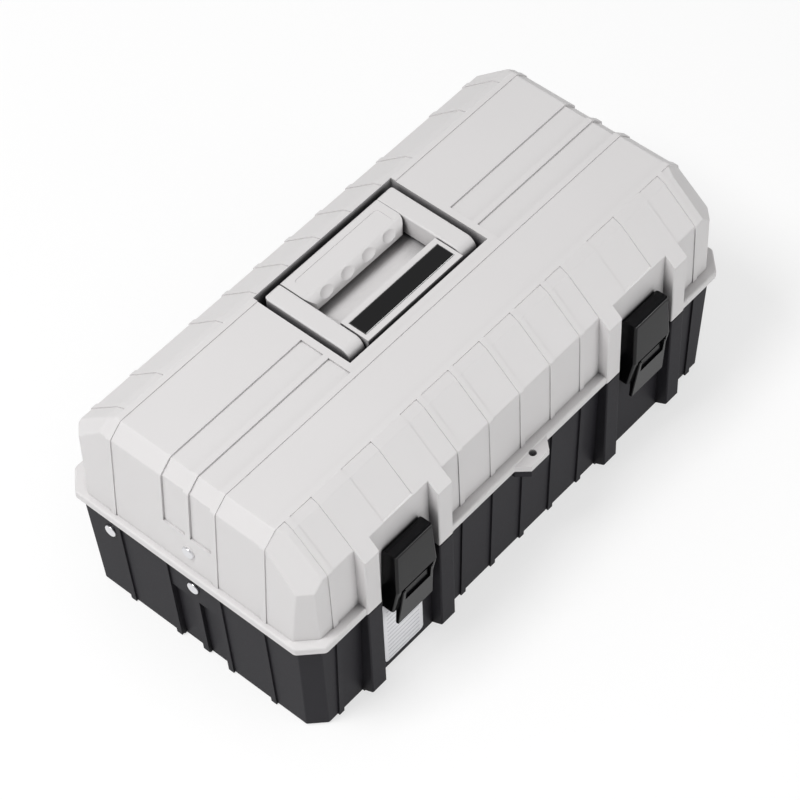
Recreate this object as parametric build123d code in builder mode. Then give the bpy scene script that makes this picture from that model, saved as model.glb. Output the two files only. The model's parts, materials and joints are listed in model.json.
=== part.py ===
import os
from math import atan2, cos, degrees, hypot, radians, sin

from build123d import *

# Folding toolbox: a drafted base, a faceted lid hinged at the rear, and two trays that swing up and
# back on steel arms as the lid opens. The origin is the middle of the base's underside, X runs along
# the box, the latches face -Y and Z is up. All sizes are millimetres.

# Overall
box_length = 430.0
box_depth = 221.6
base_height = 97.3
lid_height = 89.0
wall = 2.5
rim_gap = 0.3
overrun = 20.0
running_fit = 0.08
fixed_fit = 0.02
running_gap = 0.4

# Lid form: set in from the rim's edge, and measured up from the rim's underside
rim_height = 6.0
rim_corner = 14.4
rim_corner_round = 4.0
rim_round = 1.4
lid_front_inset = 6.9
lid_rear_inset = 9.6
lid_end_inset = 4.0
lid_corner = 13.0
shoulder_height = 62.2
shoulder_draft = 0.9
slope_run = 26.8
facet_run = 6.7
facet_drop = 2.9
end_draft = 5.6
end_facet_run = 10.2
end_facet_drop = 9.6
lid_corner_cut = 15.6
lid_rear_corner_cut = 9.6
lid_edge_round = 2.5

# Ribs and channels of the lid
lid_rib_height = 0.8
lid_rib_width = 4.6
rib_pitch = 30.7
outer_rib_inset = 30.6
edge_rib_width = 4.6
channel_depth = 1.6
channel_rib_y = -2.1
channel_pitch = 23.6
channel_foot = 35.6
cross_rib_width = 5.6

# Latch posts and bay
latch_end_inset = 94.0
bay_half = 28.0
post_width = 13.6
post_proud = 1.2
lid_bay_inset = 0.5
band_half = 14.0
post_round = 1.2

# Base form
base_top_inset_x = 4.6
base_top_inset_y = 5.6
base_draft_x = 4.4
base_draft_y = 3.0
base_corner = 10.5
base_edge_round = 2.0
base_foot_chamfer = 1.6
base_rim_height = 2.6
base_rim_proud = 2.4
base_rib_height = 1.3
base_rib_width = 4.6
pocket_depth = 3.0
pocket_drop = 34.0
pocket_margin = 0.3
end_rib_y = 64.0
column_foot = 7.3
column_foot_slope = 6.0
base_bay_set = 2.6

# Padlock eye, half on the lid and half on the base
eye_width = 33.0
eye_nose_width = 18.0
eye_reach = 8.4
eye_thickness = 5.4
eye_bore = 5.4
eye_bore_reach = 1.8

# Rear hinge
hinge_overhang = 3.2
hinge_drop = 10.0
hinge_end_inset = 87.0
knuckle_radius = 5.4
hinge_pin_radius = 2.0
lid_knuckle_width = 22.0
base_knuckle_width = 12.0

# Tray arms and their rivets
lid_rivet_y = -2.7
lid_rivet_rise = 21.4
front_rivet_y = -2.7
front_rivet_drop = 17.8
rear_rivet_y = 72.0
rear_rivet_drop = 20.9
arm_width = 13.0
arm_thickness = 2.0
rivet_radius = 2.5
rivet_head_radius = 4.7
rivet_head = 1.5
rivet_dome = 0.9
rivet_pad = 0.4
boss_radius = 5.0
washer_radius = 5.5
washer_thickness = 0.8
arm_side_room = 2.5

# Trays
tray_wall = 2.2
tray_gap = 1.0
tray_lip = 0.4
tray_front_room = 6.5
lower_tray_height = 36.0
lower_tray_depth = 163.0
upper_tray_height = 30.0
upper_tray_depth = 133.0
divider = 1.8
divider_drop = 4.0
lower_tray_columns = 3
upper_tray_columns = 6
lower_tray_split_share = 0.5
upper_tray_split_share = 0.45

# Handle and its recess in the lid
recess_length = 136.0
recess_front = 17.8
recess_rear = 66.3
recess_depth = 20.3
handle_rise = 0.4
handle_side_room = 5.0
handle_rear_room = 4.3
handle_arm_width = 15.0
handle_arm_radius = 8.6
handle_pivot_y = -4.5
handle_round = 2.4
handle_corner = 4.0
handle_pin_radius = 2.5
handle_pin_seat = 10.0
handle_pin_cap = 2.0
handle_core_depth = 14.0
handle_core_height = 7.0
grip_depth = 28.3
grip_corner = 8.5
grip_end_gap = 0.5
grip_panel_inset = 6.5
grip_panel_corner = 3.0
grip_panel_depth = 0.5
finger_dents = 4
finger_pitch = 20.5
finger_radius = 14.0
finger_depth = 1.5
finger_tilt = 35.0
plate_bar_front = 14.6
plate_bar_rear = 9.4
plate_bar_drop = 0.2
plate_bar_gap = 1.2
plate_length = 88.0
plate_depth = 15.0
plate_thickness = 1.6
plate_seat = 0.8
plate_round = 1.2

# Latches
latch_width = 39.0
latch_top_width = 35.2
latch_top = 39.0
latch_proud = 5.5
latch_lean = 1.6
latch_body_rise = 2.7
latch_side_drop = 22.0
latch_side_back = 4.9
latch_skin = 2.0
latch_round = 2.0
latch_hub_radius = 4.6
latch_boss_radius = 3.4
latch_lug_half = 9.0
latch_lug_radius = 2.8
latch_lug_web = 3.0
latch_lug_drop = 8.6
latch_pin_radius = 1.4
latch_pin_reach = 5.0
tab_width = 34.0
tab_top_width = 29.0
tab_rise = 0.6
tab_drop = 35.6
tab_top_reach = 0.8
tab_foot_reach = 2.9
tab_thickness = 2.4
tab_plate = 2.0
tab_plate_lap = 6.0
tab_plate_drop = 13.0
tab_round = 0.8
tab_window_width = 24.4
tab_window_drop = 10.6
tab_bar_width = 22.8
tab_bar_drop = 2.6
tab_bar_set = 2.6
keeper_drop = 12.0
keeper_height = 7.0
keeper_gap = 0.6
keeper_side_gap = 0.8

# Paper label under the left latch
label_width = 38.0
label_height = 68.0
label_foot = 6.5
label_corner = 3.5
label_thickness = 0.25

# Levels and half sizes that follow
half_length = box_length / 2
half_depth = box_depth / 2
outer_rib_x = half_length - outer_rib_inset
latch_x = half_length - latch_end_inset
hinge_x = half_length - hinge_end_inset
rim_z = base_height
top_z = base_height + lid_height
base_top_z = base_height - rim_gap
lid_half_length = half_length - lid_end_inset
lid_half_depth = half_depth - lid_front_inset
shoulder_half = lid_half_depth - shoulder_draft
facet_half = shoulder_half - slope_run
panel_half = facet_half - facet_run
lid_rear_shift = lid_rear_inset - lid_front_inset
panel_rear = panel_half - lid_rear_shift
end_shoulder_half = lid_half_length - end_draft
end_panel_half = end_shoulder_half - end_facet_run
end_lean_share = shoulder_height / (lid_height - end_facet_drop)
lid_corner_x = lid_half_length - end_draft * end_lean_share
rear_shoulder_half = shoulder_half - lid_rear_shift
base_top_half_x = half_length - base_top_inset_x
base_top_half_y = half_depth - base_top_inset_y
slope_rise = lid_height - facet_drop - shoulder_height
post_front = half_depth + post_proud
lid_bay_y = lid_half_depth - lid_bay_inset
base_bay_y = base_top_half_y - base_bay_set
floor_z = wall

# Tray linkage: the lid between its hinge and its rivet is one side of a parallelogram, and each arm
# repeats that side, so both trays stay level
hinge_y = half_depth + hinge_overhang
hinge_z = rim_z - hinge_drop
lid_rivet_z = rim_z + lid_rivet_rise
front_rivet_z = rim_z - front_rivet_drop
rear_rivet_z = rim_z - rear_rivet_drop
link_y = lid_rivet_y - hinge_y
link_z = lid_rivet_z - hinge_z
link_angle = degrees(atan2(link_z, link_y))
link_length = hypot(link_y, link_z)
lower_rear_pivot = (rear_rivet_y + link_y / 2, rear_rivet_z + link_z / 2)
lower_front_pivot = (front_rivet_y + link_y / 2, front_rivet_z + link_z / 2)
upper_pivot = (rear_rivet_y + link_y, rear_rivet_z + link_z)

# Stack along X at each end: base wall, boss, washer, arm, room for rivet heads, tray end
base_draft_at_rivets = base_draft_x * rear_rivet_drop / base_height
arm_outer = base_top_half_x - wall - base_draft_at_rivets - washer_thickness - rivet_head
arm_inner = arm_outer - arm_thickness
tray_half = arm_inner - arm_side_room
tray_seat = tray_half - tray_wall
lower_tray_top = max(lower_rear_pivot[1], lower_front_pivot[1]) + boss_radius + tray_lip
lower_tray_floor = lower_tray_top - lower_tray_height
upper_tray_floor = lower_tray_top + tray_gap
upper_tray_top = upper_tray_floor + upper_tray_height
tray_front = -(lid_half_depth - tray_front_room)
clinch_room = upper_pivot[1] - upper_tray_floor - tray_wall - running_gap / 2
clinch_radius = min(rivet_head_radius, clinch_room)

# Outer seats of the rivets: small pads that stand just proud of the sloping end walls
lid_seat = lid_half_length - end_draft * lid_rivet_rise / (lid_height - end_facet_drop) + rivet_pad
base_seat = base_top_half_x - base_draft_x * front_rivet_drop / base_height + rivet_pad

# Handle places
recess_floor = top_z - recess_depth
handle_top = top_z + handle_rise
handle_pivot_z = handle_top - handle_arm_radius
handle_outer = recess_length / 2 - handle_side_room
handle_inner = handle_outer - handle_arm_width
handle_rear = recess_rear - handle_rear_room
plate_bar_top = top_z - plate_bar_drop
plate_bar_half = handle_inner - plate_bar_gap
plate_middle = (plate_bar_rear - plate_bar_front) / 2
grip_half = handle_inner - grip_end_gap
grip_middle = handle_rear - grip_depth / 2

# Latch places: the rounded heel of each latch is centred on its pivot
latch_front = post_front + latch_proud
latch_rear = lid_bay_y + running_gap
latch_top_z = rim_z + latch_top
latch_body_z = rim_z + latch_body_rise
latch_pivot_y = -(latch_rear + latch_hub_radius)
latch_pivot_z = latch_top_z - latch_hub_radius
latch_room_half = latch_top_width / 2 - latch_skin
latch_pin_half = latch_lug_half + running_gap + latch_pin_reach
tab_top_front = latch_front + tab_top_reach
tab_foot_front = latch_front - tab_foot_reach
tab_back = tab_foot_front - tab_thickness


def block(x_low, x_high, y_low, y_high, z_low, z_high, mode=Mode.ADD):
    """A box between six planes, in the part being built."""
    with Locations(((x_low + x_high) / 2, (y_low + y_high) / 2, (z_low + z_high) / 2)):
        Box(x_high - x_low, y_high - y_low, z_high - z_low, mode=mode)


def round_bar(radius, x_low, x_high, place, mode=Mode.ADD):
    """A round bar along X at a (y, z) place, in the part being built."""
    with Locations(((x_low + x_high) / 2, place[0], place[1])):
        Cylinder(radius, x_high - x_low, rotation=(0, 90, 0), mode=mode)


def span(side, near, far):
    """X limits of something between two distances from the middle, on one side."""
    return (near, far) if side > 0 else (-far, -near)


def octagon(length, depth, corner, level):
    """A rectangle with cut corners at a level."""
    with BuildSketch(Plane.XY.offset(level)) as plan:
        Rectangle(length, depth)
        chamfer(plan.vertices(), corner)
    return plan.sketch


def lid_form(grow, foot_z):
    """The faceted form of the lid, grown or shrunk evenly, from a level upwards."""
    flare = shoulder_draft * overrun / shoulder_height
    end_shoulder_z = top_z - end_facet_drop
    end_flare = end_draft * overrun / (lid_height - end_facet_drop)
    across = [
        (lid_half_depth + flare, rim_z - overrun),
        (shoulder_half, rim_z + shoulder_height),
        (facet_half, top_z - facet_drop),
        (panel_half, top_z),
    ]
    along = [
        (lid_half_length + end_flare, rim_z - overrun),
        (end_shoulder_half, end_shoulder_z),
        (end_panel_half, top_z),
    ]
    with BuildPart() as form:
        with BuildSketch(Plane.YZ):
            with BuildLine():
                Polyline(
                    *[(y - lid_rear_shift, z) for y, z in across],
                    *[(-y, z) for y, z in reversed(across)],
                    close=True,
                )
            make_face()
            if grow:
                offset(amount=grow, kind=Kind.INTERSECTION)
        extrude(amount=half_length + overrun, both=True)
        with BuildSketch(Plane.XZ):
            with BuildLine():
                Polyline(*along, *[(-x, z) for x, z in reversed(along)], close=True)
            make_face()
            if grow:
                offset(amount=grow, kind=Kind.INTERSECTION)
        extrude(amount=half_depth + overrun, both=True, mode=Mode.INTERSECT)
        with BuildSketch(Plane.XY.offset(foot_z)) as plan:
            with Locations((0, -lid_rear_shift / 2)):
                Rectangle(2 * (lid_half_length + overrun), 2 * (lid_half_depth + overrun) - lid_rear_shift)
            chamfer(plan.vertices(), lid_corner + 2 * overrun)
            if grow:
                offset(amount=grow, kind=Kind.INTERSECTION)
        extrude(amount=lid_height + 2 * overrun, mode=Mode.INTERSECT)
        for side in (-1, 1):
            for hand, shoulder, cut in ((-1, shoulder_half, lid_corner_cut),
                                        (1, rear_shoulder_half, lid_rear_corner_cut)):
                lean = Vector(side * slope_rise, hand * slope_rise, slope_run).normalized()
                corner = Vector(side * (lid_corner_x - cut), hand * shoulder, rim_z + shoulder_height)
                with Locations(Plane(corner + lean * grow, z_dir=lean)):
                    Box(box_depth, box_depth, lid_height, align=(Align.CENTER, Align.CENTER, Align.MIN),
                        mode=Mode.SUBTRACT)
        edge_round = lid_edge_round + grow
        if edge_round > 0:
            fillet(form.edges() - form.faces().sort_by(Axis.Z)[0].edges(), edge_round)
    return form.part


def base_form(grow, foot_z, head_z):
    """The drafted form of the base, grown or shrunk sideways, between two levels."""
    with BuildPart() as form:
        for level in (foot_z, head_z):
            draft_share = (base_height - level) / base_height
            half_x = base_top_half_x - base_draft_x * draft_share + grow
            half_y = base_top_half_y - base_draft_y * draft_share + grow
            add(octagon(2 * half_x, 2 * half_y, base_corner, level))
        loft(ruled=True)
        edge_round = base_edge_round + grow
        if 0 < edge_round < base_corner:
            ends = form.faces().sort_by(Axis.Z)
            fillet(form.edges() - ends[0].edges() - ends[-1].edges(), edge_round)
    return form.part


def lid_rib_form():
    """Raised ribs and latch bands, cut from a slightly larger lid form."""
    foot = rim_z + rim_height / 2
    top = top_z + overrun
    reach = half_length + overrun
    with BuildPart() as ribs:
        block(-reach, reach, -panel_half, -panel_half + edge_rib_width, foot, top)
        block(-reach, reach, panel_rear - edge_rib_width, panel_rear, foot, top)
        for side in (-1, 1):
            for x in (side * rib_pitch, side * 2 * rib_pitch, side * outer_rib_x):
                block(x - lid_rib_width / 2, x + lid_rib_width / 2, -half_depth, -panel_half, foot, top)
                block(x - lid_rib_width / 2, x + lid_rib_width / 2, panel_rear, half_depth, foot, top)
            band_outer = bay_half + post_width
            for band in (span(-1, band_half, band_outer), span(1, band_half, band_outer)):
                low = side * latch_x + band[0]
                high = side * latch_x + band[1]
                block(low, high, -half_depth, -panel_half, foot, top)
                middle = (low + high) / 2
                rib_low = middle - lid_rib_width / 2
                block(rib_low, rib_low + lid_rib_width, panel_rear, half_depth, foot, top)
        long_rib = channel_rib_y - channel_pitch - lid_rib_width / 2
        block(-reach, reach, long_rib, long_rib + lid_rib_width, foot, top)
        block(-lid_rib_width / 2, lid_rib_width / 2, -half_depth, -panel_half, foot, top)
        block(-lid_rib_width / 2, lid_rib_width / 2, panel_rear, half_depth, foot, top)
        add(lid_form(lid_rib_height, rim_z), mode=Mode.INTERSECT)
    return ribs.part


def lid_channel_cut():
    """Two sunk channels each side of the handle, over the top and down the ends."""
    start = recess_length / 2 + cross_rib_width
    with BuildPart() as cut:
        for side in (-1, 1):
            for step in (-1, 1):
                middle = channel_rib_y + step * channel_pitch / 2
                half = (channel_pitch - lid_rib_width) / 2
                x_low, x_high = span(side, start, half_length + overrun)
                block(x_low, x_high, middle - half, middle + half, rim_z + channel_foot, top_z + overrun)
        add(lid_form(-channel_depth, rim_z), mode=Mode.SUBTRACT)
    return cut.part


def latch_post(side):
    """The two latch posts of one side, whose tops carry on the lid's front slope."""
    lift = lid_rib_height * hypot(slope_run, slope_rise) / slope_run
    shoulder_z = rim_z + shoulder_height + lift
    head_z = shoulder_z - (post_front - shoulder_half) * slope_rise / slope_run
    root = shoulder_half - wall / 2
    middle = side * latch_x
    outer = bay_half + post_width
    with BuildPart() as post:
        with BuildSketch(Plane.YZ.offset(middle - outer)):
            with BuildLine():
                Polyline(
                    (-root, rim_z),
                    (-post_front, rim_z),
                    (-post_front, head_z),
                    (-shoulder_half, shoulder_z),
                    (-root, shoulder_z),
                    close=True,
                )
            make_face()
        extrude(amount=2 * outer)
        block(middle - bay_half, middle + bay_half, -post_front - overrun, -lid_bay_y,
              rim_z - overrun, top_z, mode=Mode.SUBTRACT)
        for front in post.faces().sort_by(Axis.Y)[:2]:
            fillet(front.edges(), post_round)
    return post.part


def eye_tab(level):
    """Half of the padlock eye, with cut corners, from a level up."""
    root = lid_half_depth - wall / 2
    nose = half_depth + eye_reach
    with BuildPart() as tab:
        with BuildSketch(Plane.XY.offset(level)):
            with BuildLine():
                Polyline(
                    (-eye_width / 2, -root),
                    (-eye_width / 2, -half_depth),
                    (-eye_nose_width / 2, -nose),
                    (eye_nose_width / 2, -nose),
                    (eye_width / 2, -half_depth),
                    (eye_width / 2, -root),
                    close=True,
                )
            make_face()
        extrude(amount=eye_thickness)
    return tab.part


def eye_hole():
    """Cuts the padlock eye's bore, in the part being built."""
    with Locations((0, -half_depth - eye_bore_reach, rim_z)):
        Cylinder(eye_bore / 2, 2 * (rim_height + overrun), mode=Mode.SUBTRACT)


def rim_band():
    """The lid's rim, an octagonal band with a rounded upper edge."""
    with BuildPart() as band:
        add(octagon(box_length, box_depth, rim_corner, rim_z))
        extrude(amount=rim_height)
        fillet(band.edges().filter_by(Axis.Z), rim_corner_round)
        fillet(band.faces().sort_by(Axis.Z)[-1].edges(), rim_round)
    return band.part


def lid_knuckle(side):
    """Hinge lug that hangs from the lid's rim to the hinge axis."""
    low = side * hinge_x - lid_knuckle_width / 2
    inner = half_depth - base_top_inset_y + base_rim_proud + running_gap
    with BuildPart() as lug:
        round_bar(knuckle_radius, low, low + lid_knuckle_width, (hinge_y, hinge_z))
        block(low, low + lid_knuckle_width, inner, hinge_y + knuckle_radius, hinge_z, rim_z + rim_height)
        block(low, low + lid_knuckle_width, lid_half_depth - lid_rear_shift - wall / 2, inner + wall,
              rim_z, rim_z + rim_height)
        round_bar(hinge_pin_radius + running_fit, low - overrun, low + lid_knuckle_width + overrun,
                  (hinge_y, hinge_z), mode=Mode.SUBTRACT)
    return lug.part


def latch_lug(middle):
    """A hooked lug on the wall of a latch bay, which holds the latch's pin inside the latch."""
    low = middle - latch_lug_half
    high = middle + latch_lug_half
    web_front = latch_pivot_y - latch_lug_web / 2
    shelf_z = latch_pivot_z - latch_lug_drop
    with BuildPart() as lug:
        round_bar(latch_lug_radius, low, high, (latch_pivot_y, latch_pivot_z))
        block(low, high, web_front, web_front + latch_lug_web, shelf_z, latch_pivot_z)
        block(low, high, web_front, -lid_bay_y + wall / 2, shelf_z, shelf_z + latch_lug_web)
        round_bar(latch_pin_radius + fixed_fit, low, high, (latch_pivot_y, latch_pivot_z), mode=Mode.SUBTRACT)
    return lug.part


# Lid: faceted shell with ribs, channels, latch posts and lugs, an opening for the handle and hinge lugs
with BuildPart() as lid_shell:
    add(lid_form(0, rim_z))
    add(lid_rib_form())
    add(rim_band())
    for side in (-1, 1):
        add(latch_post(side))
        middle = side * latch_x
        block(middle - bay_half, middle + bay_half, -half_depth - overrun, -lid_bay_y,
              rim_z - overrun, rim_z + shoulder_height, mode=Mode.SUBTRACT)
        add(lid_knuckle(side))
    add(eye_tab(rim_z))
    eye_hole()
    add(lid_channel_cut(), mode=Mode.SUBTRACT)
    add(lid_form(-wall, rim_z - overrun), mode=Mode.SUBTRACT)
    block(-recess_length / 2, recess_length / 2, -recess_front, recess_rear,
          recess_floor, top_z + overrun, mode=Mode.SUBTRACT)
    for side in (-1, 1):
        add(latch_lug(side * latch_x))
        lid_boss = span(side, arm_inner + running_gap / 2, lid_seat)
        round_bar(boss_radius, *lid_boss, (lid_rivet_y, lid_rivet_z))
        rivet_hole = span(side, arm_inner - overrun, half_length + overrun)
        round_bar(rivet_radius + fixed_fit, *rivet_hole, (lid_rivet_y, lid_rivet_z), mode=Mode.SUBTRACT)
lid_shell.part.label = "lid_shell"

# Handle well: a pan under the lid's opening, with the bar that carries the plate and the handle's pins
pan_half = recess_length / 2 + wall
with BuildPart() as handle_well:
    block(-pan_half, pan_half, -recess_front - wall, recess_rear + wall, recess_floor - wall, top_z)
    add(lid_form(-wall, rim_z), mode=Mode.INTERSECT)
    block(-recess_length / 2, recess_length / 2, -recess_front, recess_rear,
          recess_floor, top_z + overrun, mode=Mode.SUBTRACT)
    block(-plate_bar_half, plate_bar_half, -plate_bar_front, plate_bar_rear,
          recess_floor - wall / 2, plate_bar_top)
    block(-plate_length / 2, plate_length / 2, plate_middle - plate_depth / 2, plate_middle + plate_depth / 2,
          plate_bar_top - plate_seat, plate_bar_top + overrun, mode=Mode.SUBTRACT)
    for side in (-1, 1):
        pin_hole = span(side, plate_bar_half - handle_pin_seat, plate_bar_half)
        round_bar(handle_pin_radius + fixed_fit, *pin_hole, (handle_pivot_y, handle_pivot_z),
                  mode=Mode.SUBTRACT)
handle_well.part.label = "handle_well"


def base_rib_form():
    """Upright ribs on the base's four sides, cut from a slightly larger base form."""
    foot = base_foot_chamfer / 2
    head = base_top_z - base_rim_height / 2
    with BuildPart() as ribs:
        for side in (-1, 1):
            front_or_rear = span(side, base_top_half_y - base_draft_y - wall, half_depth)
            for x in (-outer_rib_x, -2 * rib_pitch, -rib_pitch, 0, rib_pitch, 2 * rib_pitch, outer_rib_x):
                block(x - base_rib_width / 2, x + base_rib_width / 2, *front_or_rear, foot, head)
            end = span(side, base_top_half_x - base_draft_x - wall, half_length)
            for y in (-end_rib_y, channel_rib_y - channel_pitch, channel_rib_y + channel_pitch, end_rib_y):
                block(*end, y - base_rib_width / 2, y + base_rib_width / 2, foot, head)
        add(base_form(base_rib_height, 0, base_top_z), mode=Mode.INTERSECT)
    return ribs.part


def end_pockets(margin, outer_grow, inner_grow, foot_z):
    """Slabs at the four end pockets, between two sizes of the base form, from a level up."""
    half = (channel_pitch - base_rib_width) / 2 - pocket_margin + margin
    with BuildPart() as slabs:
        for side in (-1, 1):
            end = span(side, base_top_half_x - base_draft_x - overrun, half_length + overrun)
            for step in (-1, 1):
                middle = channel_rib_y + step * channel_pitch / 2
                block(*end, middle - half, middle + half, foot_z, base_top_z - pocket_drop + margin)
        add(base_form(outer_grow, foot_z, base_top_z), mode=Mode.INTERSECT)
        add(base_form(inner_grow, foot_z - overrun, base_top_z), mode=Mode.SUBTRACT)
    return slabs.part


def base_column(middle):
    """A column under a latch post, whose foot slopes back to the wall."""
    root = base_bay_y - wall / 2
    with BuildPart() as column:
        with BuildSketch(Plane.YZ.offset(middle - post_width / 2)):
            with BuildLine():
                Polyline(
                    (-root, column_foot - column_foot_slope),
                    (-post_front, column_foot),
                    (-post_front, base_top_z),
                    (-root, base_top_z),
                    close=True,
                )
            make_face()
        extrude(amount=post_width)
        front = column.faces().sort_by(Axis.Y)[0]
        fillet(front.edges() - column.faces().sort_by(Axis.Z)[-1].edges(), post_round)
    return column.part


def base_knuckles(side):
    """Two hinge knuckles that stand out from the base's rear wall."""
    root = base_top_half_y - wall
    with BuildPart() as knuckles:
        for hand in (-1, 1):
            near = lid_knuckle_width / 2 + running_gap
            low, high = span(hand, near, near + base_knuckle_width)
            low += side * hinge_x
            high += side * hinge_x
            round_bar(knuckle_radius, low, high, (hinge_y, hinge_z))
            block(low, high, root, hinge_y, hinge_z - knuckle_radius, hinge_z + knuckle_radius)
            round_bar(hinge_pin_radius + fixed_fit, low, high, (hinge_y, hinge_z), mode=Mode.SUBTRACT)
    return knuckles.part


# Base: drafted box with ribs, end pockets, latch columns, keepers, rim, hinge knuckles and arm bosses
with BuildPart() as base_box:
    add(base_form(0, 0, base_top_z))
    chamfer(base_box.faces().sort_by(Axis.Z)[0].edges(), base_foot_chamfer)
    add(base_rib_form())
    rim_x = 2 * (base_top_half_x + base_rim_proud)
    rim_y = 2 * (base_top_half_y + base_rim_proud)
    add(octagon(rim_x, rim_y, base_corner + base_rim_proud, base_top_z - base_rim_height))
    extrude(amount=base_rim_height)
    add(base_form(-wall, floor_z, base_top_z + overrun), mode=Mode.SUBTRACT)
    add(end_pockets(wall, -wall / 2, -pocket_depth - wall, floor_z / 2))
    add(end_pockets(0, overrun, -pocket_depth, -overrun), mode=Mode.SUBTRACT)
    for side in (-1, 1):
        middle = side * latch_x
        bay_reach = bay_half + post_width
        block(middle - bay_reach, middle + bay_reach, -base_bay_y - wall / 2, -base_bay_y + wall,
              floor_z / 2, base_top_z)
        bay_reach = bay_half + post_width / 2
        block(middle - bay_reach, middle + bay_reach, -post_front - overrun, -base_bay_y,
              -overrun, base_top_z + overrun, mode=Mode.SUBTRACT)
        add(base_column(middle - bay_reach))
        add(base_column(middle + bay_reach))
        keeper_half = latch_room_half - keeper_side_gap
        keeper_z = rim_z - keeper_drop
        block(middle - keeper_half, middle + keeper_half, -tab_back + keeper_gap, -base_bay_y + wall / 2,
              keeper_z - keeper_height, keeper_z)
        add(base_knuckles(side))
        for place in ((front_rivet_y, front_rivet_z), (rear_rivet_y, rear_rivet_z)):
            boss = span(side, arm_outer + washer_thickness + running_gap / 2, base_seat)
            round_bar(boss_radius, *boss, place)
            hole = span(side, arm_outer - overrun, half_length + overrun)
            round_bar(rivet_radius + fixed_fit, *hole, place, mode=Mode.SUBTRACT)
    add(eye_tab(base_top_z - eye_thickness))
    eye_hole()
base_box.part.label = "base_box"


def tray(front, rear, floor, top, pivots):
    """An open moulded tray with a boss and a hole of a given fit at each pivot."""
    with BuildPart() as body:
        block(-tray_half, tray_half, front, rear, floor, top)
        block(-tray_half + tray_wall, tray_half - tray_wall, front + tray_wall, rear - tray_wall,
              floor + tray_wall, top + overrun, mode=Mode.SUBTRACT)
        for side in (-1, 1):
            for place, fit in pivots:
                boss = span(side, tray_seat, arm_inner - running_gap / 2)
                round_bar(boss_radius, *boss, place)
                hole = span(side, tray_half - overrun, arm_inner + overrun)
                round_bar(rivet_radius + fit, *hole, place, mode=Mode.SUBTRACT)
    return body.part


with BuildPart() as lower_tray:
    add(tray(tray_front, tray_front + lower_tray_depth, lower_tray_floor, lower_tray_top,
             ((lower_rear_pivot, fixed_fit), (lower_front_pivot, fixed_fit))))
lower_tray.part.label = "lower_tray"

with BuildPart() as upper_tray:
    add(tray(tray_front, tray_front + upper_tray_depth, upper_tray_floor, upper_tray_top,
             ((upper_pivot, fixed_fit), ((lid_rivet_y, lid_rivet_z), running_fit))))
upper_tray.part.label = "upper_tray"

# Tray dividers: a long board and shorter ones in front of it, all standing on the tray's floor
dividers = {}
for name, floor, top, split, columns in (
    ("lower_tray", lower_tray_floor, lower_tray_top,
     tray_front + lower_tray_depth * lower_tray_split_share, lower_tray_columns),
    ("upper_tray", upper_tray_floor, upper_tray_top,
     tray_front + upper_tray_depth * upper_tray_split_share, upper_tray_columns),
):
    board_foot = floor + tray_wall
    board_head = top - divider_drop
    board_half = tray_seat - fixed_fit
    with BuildPart() as dividers[f"{name}_long_divider"]:
        block(-board_half, board_half, split - divider / 2, split + divider / 2, board_foot, board_head)
    for count in range(1, columns):
        x = -tray_half + 2 * tray_half * count / columns
        with BuildPart() as dividers[f"{name}_divider_{count}"]:
            block(x - divider / 2, x + divider / 2, tray_front + tray_wall + fixed_fit,
                  split - divider / 2 - fixed_fit, board_foot, board_head)
for name, board in dividers.items():
    board.part.label = name


def tray_arm(side, place, shares):
    """A flat steel arm from a base rivet, with a hole at each share of the link."""
    reach_share = shares[-1]
    start = span(side, arm_inner, arm_outer)[0]
    middle = (place[0] + link_y * reach_share / 2, place[1] + link_z * reach_share / 2)
    with BuildPart() as arm:
        with BuildSketch(Plane.YZ.offset(start)):
            with Locations(middle):
                SlotCenterToCenter(link_length * reach_share, arm_width, rotation=link_angle)
            with Locations(*[(place[0] + link_y * share, place[1] + link_z * share) for share in shares]):
                Circle(rivet_radius + running_fit, mode=Mode.SUBTRACT)
        extrude(amount=arm_thickness)
    return arm.part


# Tray arms: the rear pair carries both trays, the front pair steadies the lower one
rear_arm_shares = (0, 0.5, 1)
front_arm_shares = (0, 0.5)
arms = {}
for side, hand in ((-1, "left"), (1, "right")):
    for name, place, shares in (
        ("rear_arm", (rear_rivet_y, rear_rivet_z), rear_arm_shares),
        ("front_arm", (front_rivet_y, front_rivet_z), front_arm_shares),
    ):
        with BuildPart() as arms[f"{name}_{hand}"]:
            add(tray_arm(side, place, shares))
        arms[f"{name}_{hand}"].part.label = f"{name}_{hand}"


def rivet(side, near, far, place):
    """A rivet between an inner and an outer seat, with a domed head at each end."""
    with BuildPart() as body:
        round_bar(rivet_radius, *span(side, near, far), place)
        round_bar(clinch_radius, *span(side, near - rivet_head, near), place)
        round_bar(rivet_head_radius, *span(side, far, far + rivet_head), place)
        ends = body.faces().filter_by(GeomType.PLANE).sort_by(Axis.X)
        fillet([ends[0].edges()[0], ends[-1].edges()[0]], rivet_dome)
    return body.part


def washer(side, place):
    """A plain washer between a base boss and an arm."""
    with BuildPart() as body:
        near = arm_outer + running_gap / 2
        x_low, x_high = span(side, near, near + washer_thickness)
        round_bar(washer_radius, x_low, x_high, place)
        round_bar(rivet_radius + fixed_fit, x_low, x_high, place, mode=Mode.SUBTRACT)
    return body.part


base_rivet_places = ((front_rivet_y, front_rivet_z), (rear_rivet_y, rear_rivet_z))
lower_pivots = (lower_rear_pivot, lower_front_pivot)
arm_seat = arm_inner - running_gap / 2
arm_face = arm_outer + running_gap / 2

with BuildPart() as base_rivets:
    for side in (-1, 1):
        for place in base_rivet_places:
            add(rivet(side, arm_seat, base_seat, place))
base_rivets.part.label = "base_rivets"

with BuildPart() as base_washers:
    for side in (-1, 1):
        for place in base_rivet_places:
            add(washer(side, place))
base_washers.part.label = "base_washers"

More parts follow.
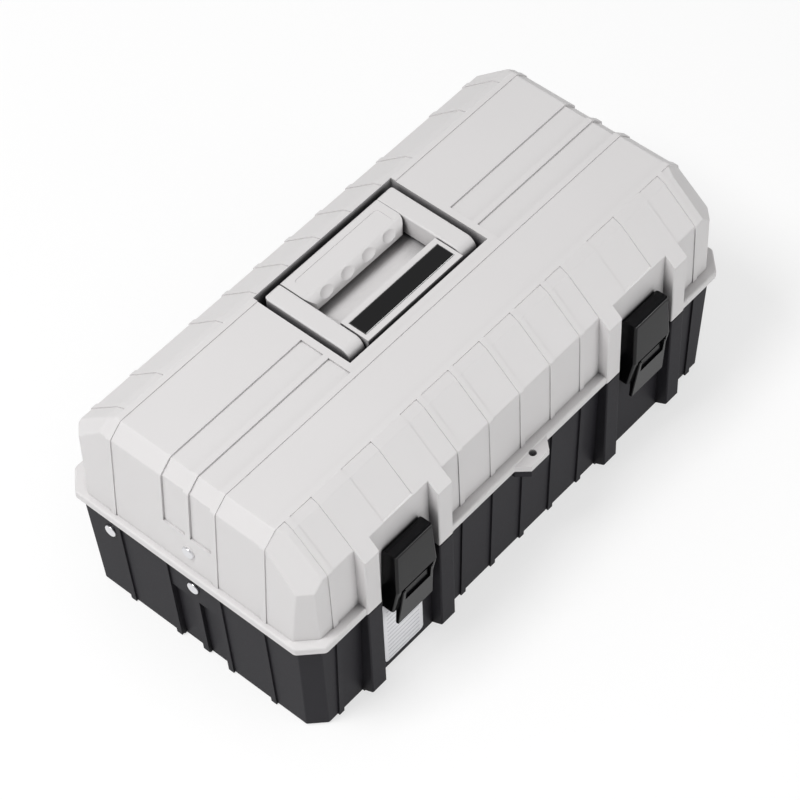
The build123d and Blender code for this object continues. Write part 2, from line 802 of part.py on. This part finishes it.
with BuildPart() as lid_rivets:
    for side in (-1, 1):
        add(rivet(side, tray_seat - running_gap / 2, lid_seat, (lid_rivet_y, lid_rivet_z)))
lid_rivets.part.label = "lid_rivets"

with BuildPart() as lower_tray_rivets:
    for side in (-1, 1):
        for place in lower_pivots:
            add(rivet(side, tray_seat, arm_face, place))
lower_tray_rivets.part.label = "lower_tray_rivets"

with BuildPart() as upper_tray_rivets:
    for side in (-1, 1):
        add(rivet(side, tray_seat, arm_face, upper_pivot))
upper_tray_rivets.part.label = "upper_tray_rivets"

# Hinge pins, held in the base's knuckles
hinge_pins = {}
hinge_pin_half = lid_knuckle_width / 2 + running_gap + base_knuckle_width
for side, hand in ((-1, "left"), (1, "right")):
    with BuildPart() as hinge_pins[f"hinge_pin_{hand}"]:
        round_bar(hinge_pin_radius, side * hinge_x - hinge_pin_half, side * hinge_x + hinge_pin_half,
                  (hinge_y, hinge_z))
    hinge_pins[f"hinge_pin_{hand}"].part.label = f"hinge_pin_{hand}"


def latch_outline(middle):
    """The latch's outer form: tapered body with a round heel, and side walls that run down and back."""
    side_z = rim_z - latch_side_drop
    half = latch_width / 2
    top_half = latch_top_width / 2
    with BuildPart() as form:
        with BuildSketch(Plane.YZ.offset(middle - half)):
            with BuildLine():
                Polyline(
                    (-latch_rear, side_z),
                    (-latch_rear, latch_top_z),
                    (-latch_front + latch_lean, latch_top_z),
                    (-latch_front, latch_body_z),
                    (-latch_front + latch_side_back, side_z),
                    close=True,
                )
            make_face()
        extrude(amount=latch_width)
        with BuildSketch(Plane.XZ):
            with BuildLine():
                Polyline(
                    (middle - half, side_z),
                    (middle - half, latch_body_z),
                    (middle - top_half, latch_top_z),
                    (middle + top_half, latch_top_z),
                    (middle + half, latch_body_z),
                    (middle + half, side_z),
                    close=True,
                )
            make_face()
        extrude(amount=latch_front + overrun, mode=Mode.INTERSECT)
        heel = form.faces().sort_by(Axis.Z)[-1].edges().sort_by(Axis.Y)[-1]
        fillet(heel, latch_hub_radius)
        fronts = form.faces().sort_by(Axis.Y)[:2]
        upright = fronts.edges() - form.edges().filter_by(Axis.X)
        brow = form.faces().sort_by(Axis.Z)[-1].edges().sort_by(Axis.Y)[0]
        fillet(upright + [brow], latch_round)
    return form.part


def latch_tab(middle):
    """The pull tab: a wedge that widens to its foot, with a blind window open at its top and a bar in it."""
    head_z = rim_z + tab_rise
    foot_z = rim_z - tab_drop
    window_half = tab_window_width / 2
    bar_half = tab_bar_width / 2
    with BuildPart() as tab:
        with BuildSketch(Plane.YZ.offset(middle - tab_width / 2)):
            with BuildLine():
                Polyline(
                    (-tab_back, foot_z),
                    (-tab_back, head_z),
                    (-tab_top_front, head_z),
                    (-tab_foot_front, foot_z),
                    close=True,
                )
            make_face()
        extrude(amount=tab_width)
        with BuildSketch(Plane.XZ):
            with BuildLine():
                Polyline(
                    (middle - tab_width / 2, foot_z),
                    (middle - tab_top_width / 2, head_z),
                    (middle + tab_top_width / 2, head_z),
                    (middle + tab_width / 2, foot_z),
                    close=True,
                )
            make_face()
        extrude(amount=tab_top_front + overrun, mode=Mode.INTERSECT)
        fillet(tab.faces().sort_by(Axis.Y)[0].edges(), tab_round)
        block(middle - window_half, middle + window_half, -tab_top_front - overrun, -tab_back - tab_plate,
              rim_z - tab_window_drop, head_z + overrun, mode=Mode.SUBTRACT)
        block(middle - bar_half, middle + bar_half, -tab_top_front + tab_bar_set, -tab_back - tab_plate / 2,
              rim_z - tab_window_drop - tab_plate / 2, rim_z - tab_bar_drop)
    return tab.part


def latch(middle):
    """A one-piece latch: hollow body open at the rear, pull tab on a back plate, and bosses for the pin."""
    room_z = latch_top_z - latch_skin
    foot_z = rim_z - latch_side_drop - overrun
    room = (middle - latch_room_half, middle + latch_room_half)
    plate_half = latch_width / 2 - latch_skin / 2
    with BuildPart() as body:
        add(latch_outline(middle))
        block(*room, -latch_front + latch_lean + latch_skin, -latch_rear + overrun, foot_z, room_z,
              mode=Mode.SUBTRACT)
        block(*room, -latch_front - overrun, -latch_rear + overrun, foot_z, latch_body_z, mode=Mode.SUBTRACT)
        block(middle - plate_half, middle + plate_half, -tab_back - tab_plate, -tab_back,
              rim_z - tab_plate_drop, rim_z + tab_plate_lap)
        add(latch_tab(middle))
        boss_near = latch_lug_half + running_gap
        for hand in (-1, 1):
            boss = span(hand, boss_near, latch_room_half + latch_skin / 2)
            round_bar(latch_boss_radius, middle + boss[0], middle + boss[1], (latch_pivot_y, latch_pivot_z))
        round_bar(latch_lug_radius + running_gap, middle - boss_near, middle + boss_near,
                  (latch_pivot_y, latch_pivot_z), mode=Mode.SUBTRACT)
        pin_room = latch_pin_half + running_gap
        round_bar(latch_pin_radius + running_fit, middle - pin_room, middle + pin_room,
                  (latch_pivot_y, latch_pivot_z), mode=Mode.SUBTRACT)
    return body.part


# Latches and the pins that they hang on
latches = {}
for side, hand in ((-1, "left"), (1, "right")):
    with BuildPart() as latches[f"latch_{hand}"]:
        add(latch(side * latch_x))
    with BuildPart() as latches[f"latch_pin_{hand}"]:
        round_bar(latch_pin_radius, side * latch_x - latch_pin_half, side * latch_x + latch_pin_half,
                  (latch_pivot_y, latch_pivot_z))
    for name in (f"latch_{hand}", f"latch_pin_{hand}"):
        latches[name].part.label = name

# Handle frame: two side arms and the core bar inside the grip
core_y = (grip_middle - handle_core_depth / 2, grip_middle + handle_core_depth / 2)
core_z = (handle_pivot_z - handle_core_height / 2, handle_pivot_z + handle_core_height / 2)
with BuildPart() as handle_frame:
    for side in (-1, 1):
        start, end = span(side, handle_inner, handle_outer)
        with BuildSketch(Plane.YZ.offset(start)) as arm_side:
            with Locations((handle_pivot_y, handle_pivot_z)):
                Circle(handle_arm_radius)
            with Locations(((handle_pivot_y + handle_rear) / 2, handle_pivot_z)):
                Rectangle(handle_rear - handle_pivot_y, 2 * handle_arm_radius)
            fillet(arm_side.vertices().sort_by(Axis.Y)[-2:], handle_round)
        extrude(amount=end - start)
    rounded = handle_frame.edges().filter_by(Axis.Y).group_by(Axis.Z)[-1]
    fillet(rounded, handle_round / 2)
    with BuildSketch() as frame_plan:
        with Locations((0, handle_rear - half_depth / 2)):
            Rectangle(2 * handle_outer, half_depth)
        fillet(frame_plan.vertices().sort_by(Axis.Y)[-2:], handle_corner)
    extrude(amount=top_z + overrun, mode=Mode.INTERSECT)
    block(-handle_inner, handle_inner, *core_y, *core_z)
    for side in (-1, 1):
        pin_hole = span(side, handle_inner - overrun, handle_outer - handle_pin_cap)
        round_bar(handle_pin_radius + running_fit, *pin_hole, (handle_pivot_y, handle_pivot_z),
                  mode=Mode.SUBTRACT)
handle_frame.part.label = "handle_frame"

# Handle grip: a sleeve on the core bar, with finger dents in its round front edge and an inset panel
with BuildPart() as handle_grip:
    with BuildSketch(Plane.YZ.offset(-grip_half)) as grip_side:
        with Locations((handle_rear - grip_depth + handle_arm_radius, handle_pivot_z)):
            Circle(handle_arm_radius)
        with Locations((grip_middle + handle_arm_radius / 2, handle_pivot_z)):
            Rectangle(grip_depth - handle_arm_radius, 2 * handle_arm_radius)
        fillet(grip_side.vertices().sort_by(Axis.Y)[-2:], handle_round)
        with Locations((grip_middle, handle_pivot_z)):
            Rectangle(handle_core_depth + 2 * fixed_fit, handle_core_height + 2 * fixed_fit,
                      mode=Mode.SUBTRACT)
    extrude(amount=2 * grip_half)
    with BuildSketch() as grip_plan:
        with Locations((0, grip_middle)):
            Rectangle(2 * grip_half, grip_depth)
        fillet(grip_plan.vertices().sort_by(Axis.Y)[:2], grip_corner)
    extrude(amount=top_z + overrun, mode=Mode.INTERSECT)
    with BuildSketch(Plane.XY.offset(handle_top - grip_panel_depth)):
        with Locations((0, handle_rear - grip_panel_inset - grip_depth / 2)):
            RectangleRounded(2 * (grip_half - grip_panel_inset), grip_depth, grip_panel_corner)
    extrude(amount=overrun, mode=Mode.SUBTRACT)
    dent_reach = handle_arm_radius + finger_radius - finger_depth
    dent_y = handle_rear - grip_depth + handle_arm_radius - dent_reach * cos(radians(finger_tilt))
    dent_z = handle_pivot_z + dent_reach * sin(radians(finger_tilt))
    with Locations((0, dent_y, dent_z)):
        with GridLocations(finger_pitch, 0, finger_dents, 1):
            Sphere(finger_radius, mode=Mode.SUBTRACT)
handle_grip.part.label = "handle_grip"

# Handle pins, pressed into the ends of the plate bar
handle_pins = {}
for side, hand in ((-1, "left"), (1, "right")):
    with BuildPart() as handle_pins[f"handle_pin_{hand}"]:
        pin = span(side, plate_bar_half - handle_pin_seat, handle_outer - handle_pin_cap - running_gap)
        round_bar(handle_pin_radius, *pin, (handle_pivot_y, handle_pivot_z))
    handle_pins[f"handle_pin_{hand}"].part.label = f"handle_pin_{hand}"

# Blank glossy plate in the seat of the bar
with BuildPart() as name_plate:
    seat_z = plate_bar_top - plate_seat
    block(-plate_length / 2 + fixed_fit, plate_length / 2 - fixed_fit,
          plate_middle - plate_depth / 2 + fixed_fit, plate_middle + plate_depth / 2 - fixed_fit,
          seat_z, seat_z + plate_thickness)
    fillet(name_plate.faces().sort_by(Axis.Z)[-1].edges(), plate_round)
name_plate.part.label = "name_plate"

# Blank paper label on the base's wall under the left latch
with BuildPart() as paper_label:
    block(-latch_x - label_width / 2, -latch_x + label_width / 2, -base_bay_y - label_thickness, -base_bay_y,
          label_foot, label_foot + label_height)
    fillet(paper_label.edges().filter_by(Axis.Y), label_corner)
paper_label.part.label = "paper_label"

os.makedirs("parts", exist_ok=True)
nodes = {
    "lid_shell": lid_shell,
    "handle_well": handle_well,
    "base_box": base_box,
    "lower_tray": lower_tray,
    "upper_tray": upper_tray,
    **dividers,
    "base_rivets": base_rivets,
    "base_washers": base_washers,
    "lid_rivets": lid_rivets,
    "lower_tray_rivets": lower_tray_rivets,
    "upper_tray_rivets": upper_tray_rivets,
    "handle_frame": handle_frame,
    "handle_grip": handle_grip,
    "name_plate": name_plate,
    "paper_label": paper_label,
    **arms,
    **hinge_pins,
    **latches,
    **handle_pins,
}
for name, node in nodes.items():
    export_step(node.part, f"parts/{name}.step")
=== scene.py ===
import json
import math

import bmesh
import bpy
from mathutils import Matrix, Vector


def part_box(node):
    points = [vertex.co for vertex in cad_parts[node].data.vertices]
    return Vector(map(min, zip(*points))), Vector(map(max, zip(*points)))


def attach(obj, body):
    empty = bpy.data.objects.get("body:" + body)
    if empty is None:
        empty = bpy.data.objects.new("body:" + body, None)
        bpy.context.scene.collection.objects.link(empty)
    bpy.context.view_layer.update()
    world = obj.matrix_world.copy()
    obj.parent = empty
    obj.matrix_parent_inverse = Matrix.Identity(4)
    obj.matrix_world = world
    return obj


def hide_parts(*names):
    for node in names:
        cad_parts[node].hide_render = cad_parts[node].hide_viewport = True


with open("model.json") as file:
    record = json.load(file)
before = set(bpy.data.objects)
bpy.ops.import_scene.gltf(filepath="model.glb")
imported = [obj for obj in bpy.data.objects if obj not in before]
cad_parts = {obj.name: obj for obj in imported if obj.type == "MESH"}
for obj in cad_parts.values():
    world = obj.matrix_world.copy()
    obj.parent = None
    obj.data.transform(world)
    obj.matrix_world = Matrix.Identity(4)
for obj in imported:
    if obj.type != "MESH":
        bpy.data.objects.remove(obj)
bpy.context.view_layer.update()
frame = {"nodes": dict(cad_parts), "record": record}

MM = 0.001

# Sizes of the patterns in the materials
FLOW_MARK = 90 * MM
# How far the painted shade in narrow places reaches
PAINTED_SHADE_REACH = 22 * MM
GRAIN_RELIEF = 0.05 * MM
STREAK_RELIEF = 0.03 * MM
ORANGE_PEEL = 4 * MM
PEEL_RELIEF = 0.1 * MM
# Dust is finer than this, drawn coarser so that it shows
DUST_SPECK = 0.6 * MM
PAPER_FIBRE = 1.2 * MM
RULED_PITCH = 4.4 * MM
RULED_HALF_LENGTH = 15.5 * MM
RULED_THICKNESS_SHARE = 0.16

# How far the grain and the streaks change the roughness
GRAIN_SPREAD = 0.06
STREAK_SMOOTHER = 0.08
STREAK_ROUGHER = 0.1

# Width of the eased edges on each moulded piece, in millimetres
EASED_MM = {
    "lid_shell": 0.7,
    "base_box": 0.6,
    "latch_left": 0.3,
    "latch_right": 0.3,
    "handle_frame": 0.5,
    "handle_grip": 0.5,
    "handle_well": 0.5,
}
MERGE_DISTANCE = 0.002 * MM
FLAT_ANGLE = math.radians(0.4)
SHARP_ANGLE = math.radians(34)

# Camera, fitted to the photograph: its axes and its place in millimetres
CAMERA_RIGHT = Vector((0.65506548, -0.75500737, -0.02920776))
CAMERA_UP = Vector((0.60551648, 0.50145646, 0.61797347))
CAMERA_BACK = Vector((-0.45192811, -0.42249887, 0.78565622))
CAMERA_PLACE_MM = Vector((-919.643, -855.818, 1662.809))

# Studio, in metres
FLOOR_HALF = 6.0
FLOOR_GLOW_SHARE = 0.6
LAMP_AIM = (0, 0, 0.1)


def linear(hex_colour):
    """An sRGB hex colour as the linear values that Blender mixes."""
    channels = [int(hex_colour[i:i + 2], 16) / 255 for i in (1, 3, 5)]
    return [c / 12.92 if c <= 0.04045 else ((c + 0.055) / 1.055) ** 2.4 for c in channels] + [1.0]


def add(tree, kind, feeds=(), **settings):
    """A node with its settings, its inputs set to values or fed from other nodes."""
    made = tree.nodes.new(kind)
    for name, value in settings.items():
        setattr(made, name, value)
    for name, value in dict(feeds).items():
        if isinstance(value, bpy.types.NodeSocket):
            tree.links.new(value, made.inputs[name])
        else:
            made.inputs[name].default_value = value
    return made


def begin(name, **constants):
    """An empty material, its Principled shader with even values set, and its Object coordinates."""
    material = bpy.data.materials.new(name)
    material.use_nodes = True
    tree = material.node_tree
    tree.nodes.clear()
    shader = add(tree, "ShaderNodeBsdfPrincipled")
    for socket, value in constants.items():
        shader.inputs[socket.replace("_", " ")].default_value = value
    add(tree, "ShaderNodeOutputMaterial", {"Surface": shader.outputs["BSDF"]})
    place = add(tree, "ShaderNodeTexCoord").outputs["Object"]
    return material, tree, shader, place


def moulded_plastic(name, colour, flow_colour, painted_shade_colour, rough, grain_mm, gloss, polish=0.0):
    """Injection-moulded polypropylene or nylon. The eroded mould leaves a fine even matt grain, and slow
    flow of the melt leaves broad faint changes of tone. Narrow places get painted shade: the colour
    darkens by ambient occlusion. Polish adds a thin sharp shine."""
    material, tree, shader, place = begin(name, IOR=1.49, Specular_IOR_Level=gloss, Coat_Weight=polish,
                                          Coat_Roughness=0.12)
    flow = add(tree, "ShaderNodeTexNoise", {"Vector": place, "Scale": 1 / FLOW_MARK, "Detail": 3.0})
    tone = add(tree, "ShaderNodeMix", {"Factor": flow.outputs["Fac"], "A": linear(colour),
                                       "B": linear(flow_colour)}, data_type="RGBA")
    # Painted shade: the colour darkens toward the shade colour in creases and recesses, found by ambient
    # occlusion
    painted_shade_probe = add(tree, "ShaderNodeAmbientOcclusion", {"Distance": PAINTED_SHADE_REACH}, samples=8)
    painted_shade_share = add(tree, "ShaderNodeMapRange", {"Value": painted_shade_probe.outputs["AO"], "From Min": 0.1,
                                             "From Max": 0.6, "To Min": 1.0, "To Max": 0.0})
    tone_with_painted_shade = add(tree, "ShaderNodeMix", {"Factor": painted_shade_share.outputs["Result"], "A": tone.outputs["Result"],
                                         "B": linear(painted_shade_colour)}, data_type="RGBA")
    # Mould grain is about 0.2 mm, drawn coarser so that it shows
    grain = add(tree, "ShaderNodeTexNoise", {"Vector": place, "Scale": 1 / (grain_mm * MM), "Detail": 2.0})
    sheen = add(tree, "ShaderNodeMapRange", {"Value": grain.outputs["Fac"], "To Min": rough - GRAIN_SPREAD,
                                             "To Max": rough + GRAIN_SPREAD})
    relief = add(tree, "ShaderNodeBump", {"Height": grain.outputs["Fac"], "Strength": 0.2,
                                          "Distance": GRAIN_RELIEF})
    tree.links.new(tone_with_painted_shade.outputs["Result"], shader.inputs["Base Color"])
    tree.links.new(sheen.outputs["Result"], shader.inputs["Roughness"])
    tree.links.new(relief.outputs["Normal"], shader.inputs["Normal"])
    return material


def drawn_steel(name, colour, streak_colour, rough, line_mm, stretch):
    """Plated steel that was rolled, drawn or headed: bright, with fine streaks the way it was worked."""
    material, tree, shader, place = begin(name, Metallic=1.0)
    along = add(tree, "ShaderNodeMapping", {"Vector": place, "Scale": stretch})
    # Streaks are about 0.1 mm wide, drawn coarser so that they show
    streak = add(tree, "ShaderNodeTexNoise", {"Vector": along.outputs["Vector"],
                                              "Scale": 1 / (line_mm * MM), "Detail": 3.0})
    tone = add(tree, "ShaderNodeMix", {"Factor": streak.outputs["Fac"], "A": linear(colour),
                                       "B": linear(streak_colour)}, data_type="RGBA")
    sheen = add(tree, "ShaderNodeMapRange", {"Value": streak.outputs["Fac"],
                                             "To Min": rough - STREAK_SMOOTHER,
                                             "To Max": rough + STREAK_ROUGHER})
    relief = add(tree, "ShaderNodeBump", {"Height": streak.outputs["Fac"], "Strength": 0.15,
                                          "Distance": STREAK_RELIEF})
    tree.links.new(tone.outputs["Result"], shader.inputs["Base Color"])
    tree.links.new(sheen.outputs["Result"], shader.inputs["Roughness"])
    tree.links.new(relief.outputs["Normal"], shader.inputs["Normal"])
    return material


def gloss_resin(name, colour, flow_colour):
    """A polished resin plate: near-black, mirror-bright, with faint orange peel and a trace of dust."""
    material, tree, shader, place = begin(name, IOR=1.5, Coat_Weight=1.0, Coat_Roughness=0.04)
    peel = add(tree, "ShaderNodeTexNoise", {"Vector": place, "Scale": 1 / ORANGE_PEEL, "Detail": 1.0})
    dust = add(tree, "ShaderNodeTexNoise", {"Vector": place, "Scale": 1 / DUST_SPECK, "Detail": 4.0})
    tone = add(tree, "ShaderNodeMix", {"Factor": peel.outputs["Fac"], "A": linear(colour),
                                       "B": linear(flow_colour)}, data_type="RGBA")
    sheen = add(tree, "ShaderNodeMapRange", {"Value": dust.outputs["Fac"], "From Min": 0.4,
                                             "To Min": 0.06, "To Max": 0.16})
    relief = add(tree, "ShaderNodeBump", {"Height": peel.outputs["Fac"], "Strength": 0.06,
                                          "Distance": PEEL_RELIEF})
    tree.links.new(tone.outputs["Result"], shader.inputs["Base Color"])
    tree.links.new(sheen.outputs["Result"], shader.inputs["Roughness"])
    tree.links.new(relief.outputs["Normal"], shader.inputs["Normal"])
    return material


def ruled_paper(name, colour, fibre_colour, line_colour, middle_x):
    """Coated paper label: white with faint fibres and plain grey ruled lines."""
    material, tree, shader, place = begin(name, IOR=1.45)
    fibre = add(tree, "ShaderNodeTexNoise", {"Vector": place, "Scale": 1 / PAPER_FIBRE, "Detail": 4.0})
    sheet = add(tree, "ShaderNodeMix", {"Factor": fibre.outputs["Fac"], "A": linear(colour),
                                        "B": linear(fibre_colour)}, data_type="RGBA")
    axes = add(tree, "ShaderNodeSeparateXYZ", {"Vector": place})
    rows = add(tree, "ShaderNodeMath", {0: axes.outputs["Z"], 1: 1 / RULED_PITCH}, operation="MULTIPLY")
    phase = add(tree, "ShaderNodeMath", {0: rows.outputs[0]}, operation="FRACT")
    line = add(tree, "ShaderNodeMath", {0: phase.outputs[0], 1: RULED_THICKNESS_SHARE},
               operation="LESS_THAN")
    across = add(tree, "ShaderNodeMath", {0: axes.outputs["X"], 1: middle_x, 2: RULED_HALF_LENGTH},
                 operation="COMPARE")
    ruled = add(tree, "ShaderNodeMath", {0: line.outputs[0], 1: across.outputs[0]}, operation="MULTIPLY")
    lined = add(tree, "ShaderNodeMix", {"Factor": ruled.outputs[0], "A": sheet.outputs["Result"],
                                        "B": linear(line_colour)}, data_type="RGBA")
    sheen = add(tree, "ShaderNodeMapRange", {"Value": fibre.outputs["Fac"], "To Min": 0.42,
                                             "To Max": 0.58})
    tree.links.new(lined.outputs["Result"], shader.inputs["Base Color"])
    tree.links.new(sheen.outputs["Result"], shader.inputs["Roughness"])
    return material


label_low, label_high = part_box("paper_label")
label_middle = (label_low[0] + label_high[0]) / 2
# The fourth colour of each moulded plastic is painted shade, put into its narrow places and recesses
finishes = {
    # Polypropylene out of an eroded mould: pale grey, dull, with soft wide highlights
    "lid_plastic": moulded_plastic("matt_grey_polypropylene", "#DEDCDC", "#DAD8D8", "#3E3C40",
                                   rough=0.5, grain_mm=0.9, gloss=0.3),
    # The same stuff coloured charcoal, a little duller
    "base_plastic": moulded_plastic("matt_charcoal_polypropylene", "#2B2A2E", "#28272B", "#121114",
                                    rough=0.5, grain_mm=0.9, gloss=0.08),
    # Polypropylene of the trays: near-black and dull
    "tray_plastic": moulded_plastic("matt_black_polypropylene", "#2B2A2E", "#28272B", "#121114",
                                    rough=0.52, grain_mm=0.9, gloss=0.1),
    # Nylon of the latches: black with a satin sheen and a thin shine along the edges
    "latch_plastic": moulded_plastic("satin_black_nylon", "#0C0C0E", "#0A0A0C", "#040405",
                                     rough=0.34, grain_mm=0.7, gloss=0.04, polish=0.28),
    # Resin of the plate: black, with clear reflections
    "plate_gloss": gloss_resin("polished_black_resin", "#070608", "#050506"),
    # Paper of the label: white, with plain grey lines
    "label_film": ruled_paper("coated_paper", "#FAFAFC", "#F3F3F7", "#BEBEC4", label_middle),
    # Bright zinc on headed rivets: no streak direction
    "rivet_steel": drawn_steel("zinc_plated_steel", "#E8E8EA", "#D6D6D9",
                               rough=0.3, line_mm=0.5, stretch=(1, 1, 1)),
    # Rolled strip: streaks run along the arms
    "arm_steel": drawn_steel("rolled_strip_steel", "#B9BABD", "#A2A3A7",
                             rough=0.34, line_mm=0.4, stretch=(1, 0.05, 1)),
    # Drawn wire: streaks run along the pins
    "pin_steel": drawn_steel("drawn_wire_steel", "#A9AAAD", "#94959A",
                             rough=0.32, line_mm=0.4, stretch=(0.05, 1, 1)),
}
slots = {row["node"]: row["material_slot"] for row in frame["record"]["subparts"]}
bodies = {node: body for body, nodes in frame["record"]["behaviour"]["bodies"].items() for node in nodes}
for name, node in frame["nodes"].items():
    node.data.materials.clear()
    node.data.materials.append(finishes[slots[name]])


def eased(name, width_mm):
    """A merged copy of a moulded piece with its sharp edges eased, in the CAD node's place."""
    shape = bmesh.new()
    shape.from_mesh(frame["nodes"][name].data)
    bmesh.ops.remove_doubles(shape, verts=shape.verts, dist=MERGE_DISTANCE)
    bmesh.ops.dissolve_limit(shape, angle_limit=FLAT_ANGLE, verts=shape.verts, edges=shape.edges)
    mesh = bpy.data.meshes.new(f"{name}_eased")
    shape.to_mesh(mesh)
    shape.free()
    mesh.shade_smooth()
    mesh.materials.clear()
    mesh.materials.append(finishes[slots[name]])
    piece = bpy.data.objects.new(f"{name}_eased", mesh)
    bpy.context.scene.collection.objects.link(piece)
    rounding = piece.modifiers.new("eased_edges", "BEVEL")
    rounding.width = width_mm * MM
    rounding.segments = 2
    rounding.profile = 0.5
    rounding.limit_method = "ANGLE"
    rounding.angle_limit = SHARP_ANGLE
    rounding.use_clamp_overlap = True
    rounding.material = -1
    evening = piece.modifiers.new("even_normals", "WEIGHTED_NORMAL")
    evening.keep_sharp = True
    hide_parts(name)
    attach(piece, bodies[name])


for name, width_mm in EASED_MM.items():
    eased(name, width_mm)

# Camera
camera = bpy.data.objects.new("camera", bpy.data.cameras.new("camera"))
bpy.context.scene.collection.objects.link(camera)
turn = Matrix((CAMERA_RIGHT, CAMERA_UP, CAMERA_BACK)).transposed().to_4x4()
camera.matrix_world = Matrix.Translation(CAMERA_PLACE_MM * MM) @ turn
camera.data.sensor_width = 36.0
camera.data.lens = 134.469
camera.data.clip_end = 20.0
bpy.context.scene.camera = camera

# Floor: the camera and glossy surfaces see it glow white, and it keeps a soft shadow
floor_mesh = bpy.data.meshes.new("floor")
shape = bmesh.new()
bmesh.ops.create_grid(shape, x_segments=1, y_segments=1, size=FLOOR_HALF)
shape.to_mesh(floor_mesh)
shape.free()
floor = bpy.data.objects.new("floor", floor_mesh)
bpy.context.scene.collection.objects.link(floor)
floor_paint = bpy.data.materials.new("white_studio_floor")
floor_paint.use_nodes = True
tree = floor_paint.node_tree
tree.nodes.clear()
rays = add(tree, "ShaderNodeLightPath")
seen = add(tree, "ShaderNodeMath", {0: rays.outputs["Is Camera Ray"], 1: rays.outputs["Is Glossy Ray"]},
           operation="MAXIMUM")
share = add(tree, "ShaderNodeMath", {0: seen.outputs[0], 1: FLOOR_GLOW_SHARE}, operation="MULTIPLY")
matt = add(tree, "ShaderNodeBsdfDiffuse", {"Color": linear("#F8F8F8")})
glow = add(tree, "ShaderNodeEmission", {"Color": linear("#FFFFFF"), "Strength": 1.08})
both = add(tree, "ShaderNodeMixShader", {0: share.outputs[0], 1: matt.outputs[0], 2: glow.outputs[0]})
add(tree, "ShaderNodeOutputMaterial", {"Surface": both.outputs[0]})
floor_mesh.materials.append(floor_paint)

# Room: an even dim light, seen as white by the camera
world = bpy.data.worlds.new("studio")
bpy.context.scene.world = world
world.use_nodes = True
tree = world.node_tree
tree.nodes.clear()
rays = add(tree, "ShaderNodeLightPath")
facing = add(tree, "ShaderNodeTexCoord").outputs["Generated"]
look = add(tree, "ShaderNodeSeparateXYZ", {"Vector": facing})
# In reflections the walls are white and the ceiling is dim
sheen = add(tree, "ShaderNodeMapRange", {"Value": look.outputs["Z"], "From Min": 0.1, "From Max": 0.75,
                                         "To Min": 1.0, "To Max": 0.22})
bright = add(tree, "ShaderNodeMath", {0: rays.outputs["Is Camera Ray"], 1: sheen.outputs["Result"]},
             operation="MAXIMUM")
seen = add(tree, "ShaderNodeMath", {0: rays.outputs["Is Camera Ray"], 1: rays.outputs["Is Glossy Ray"]},
           operation="MAXIMUM")
room = add(tree, "ShaderNodeBackground", {"Color": linear("#FFFFFF"), "Strength": 0.42})
white = add(tree, "ShaderNodeBackground", {"Color": linear("#FFFFFF"), "Strength": bright.outputs[0]})
mixed = add(tree, "ShaderNodeMixShader", {0: seen.outputs[0], 1: room.outputs[0], 2: white.outputs[0]})
add(tree, "ShaderNodeOutputWorld", {"Surface": mixed.outputs[0]})


def softbox(name, place, size, power, lights_matt=True):
    """A square soft light that faces the box. Without lights_matt it shows only in reflections."""
    lamp = bpy.data.lights.new(name, "AREA")
    lamp.shape = "SQUARE"
    lamp.size = size
    lamp.energy = power
    holder = bpy.data.objects.new(name, lamp)
    bpy.context.scene.collection.objects.link(holder)
    holder.location = place
    holder.visible_diffuse = lights_matt
    holder.rotation_euler = (Vector(LAMP_AIM) - Vector(place)).to_track_quat("-Z", "Y").to_euler()


softbox("key", place=(-1.15, 0.35, 2.3), size=0.8, power=39.0)
softbox("fill", place=(0.4, -2.0, 0.55), size=1.6, power=8.5)
# Draws the shine along the front edges
softbox("edge", place=(0.95, -1.6, 0.95), size=0.5, power=12.0, lights_matt=False)

bpy.context.scene.view_settings.view_transform = "Standard"
